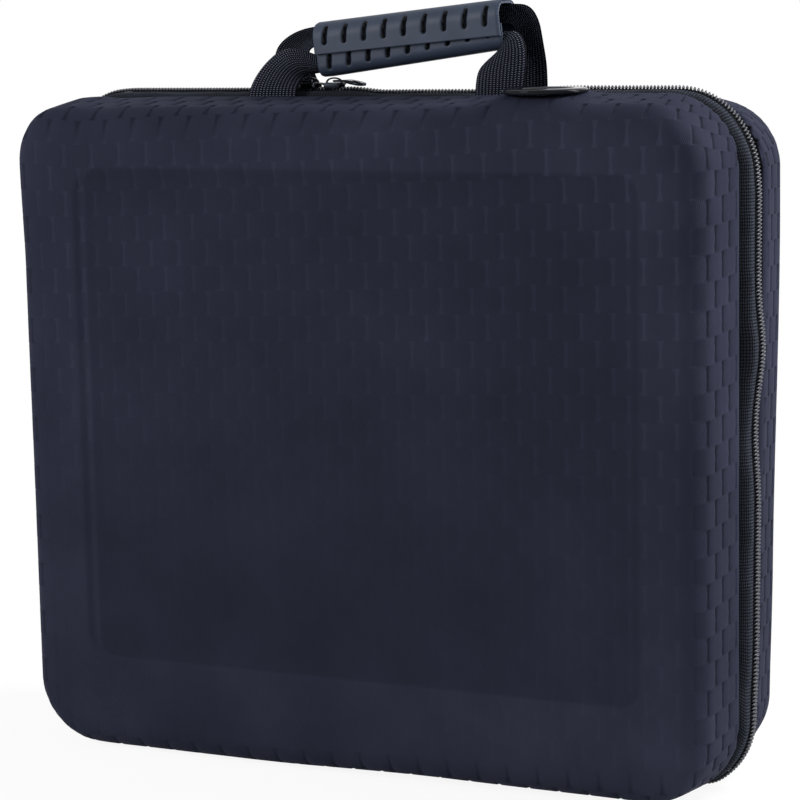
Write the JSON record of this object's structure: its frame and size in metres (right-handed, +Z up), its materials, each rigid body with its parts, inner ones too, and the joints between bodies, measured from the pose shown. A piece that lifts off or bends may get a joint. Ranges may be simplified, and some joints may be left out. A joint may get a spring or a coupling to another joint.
{
  "type": "console carrying bag",
  "caption": "Upright moulded clamshell carrying bag for a game console: two drafted cloth-faced halves, a zip all round, webbing loops with slotted rubber grips and a round cap on top.",
  "frame": {"origin": "middle of the underside, on the ground, midway between the two large faces", "axes": "+X to the right seen from the front, -Y out of the front half, +Z up"},
  "size_m": [0.4064, 0.124, 0.4076],
  "materials": {
    "shell_cloth": "moulded foam faced with knitted cloth, matt",
    "zip_tape": "woven",
    "zip_coil": "nylon, slight sheen",
    "binding": "woven",
    "webbing": "woven, ribbed",
    "grip_rubber": "moulded, satin",
    "gloss_cap": "gloss",
    "slider_metal": "dark plated zinc",
    "elastic": "knitted elastic",
    "pocket_mesh": "mesh"
  },
  "bodies": {
    "rear_half": {"rear_shell": "shell_cloth", "rear_zip_tape": "zip_tape", "rear_zip_coil": "zip_coil", "rear_seam_binding": "binding", "rear_handle_webbing": "webbing", "upper_grip": "grip_rubber", "hinge_strip": "webbing", "lower_strap": "elastic", "upper_strap": "elastic"},
    "front_half": {"front_shell": "shell_cloth", "front_zip_tape": "zip_tape", "front_zip_coil": "zip_coil", "front_seam_binding": "binding", "front_handle_webbing": "webbing", "lower_grip": "grip_rubber", "top_cap": "gloss_cap", "lid_pocket": "pocket_mesh", "pocket_hem": "elastic"},
    "left_slider": {"left_slider": "slider_metal"},
    "right_slider": {"right_slider": "slider_metal"},
    "left_pull": {"left_pull": "slider_metal"},
    "right_pull": {"right_pull": "slider_metal"}
  },
  "joints": [
    {"name": "lid_hinge", "type": "hinge", "parent": "rear_half", "child": "front_half", "pos_m": [0, -0.013, 0], "axis": [1, 0, 0], "range_deg": [0, 165]},
    {"name": "left_slider_run", "type": "slide", "parent": "rear_half", "child": "left_slider", "axis": [1, 0, 0], "range_m": [-0.1, 0]},
    {"name": "right_slider_run", "type": "slide", "parent": "rear_half", "child": "right_slider", "axis": [1, 0, 0], "range_m": [0, 0.18]},
    {"name": "left_pull_hinge", "type": "hinge", "parent": "left_slider", "child": "left_pull", "pos_m": [-0.0455, 0, 0.36565], "axis": [0, 1, 0], "range_deg": [0, 80]},
    {"name": "right_pull_hinge", "type": "hinge", "parent": "right_slider", "child": "right_pull", "pos_m": [-0.0315, 0, 0.36565], "axis": [0, -1, 0], "range_deg": [0, 8]}
  ]
}
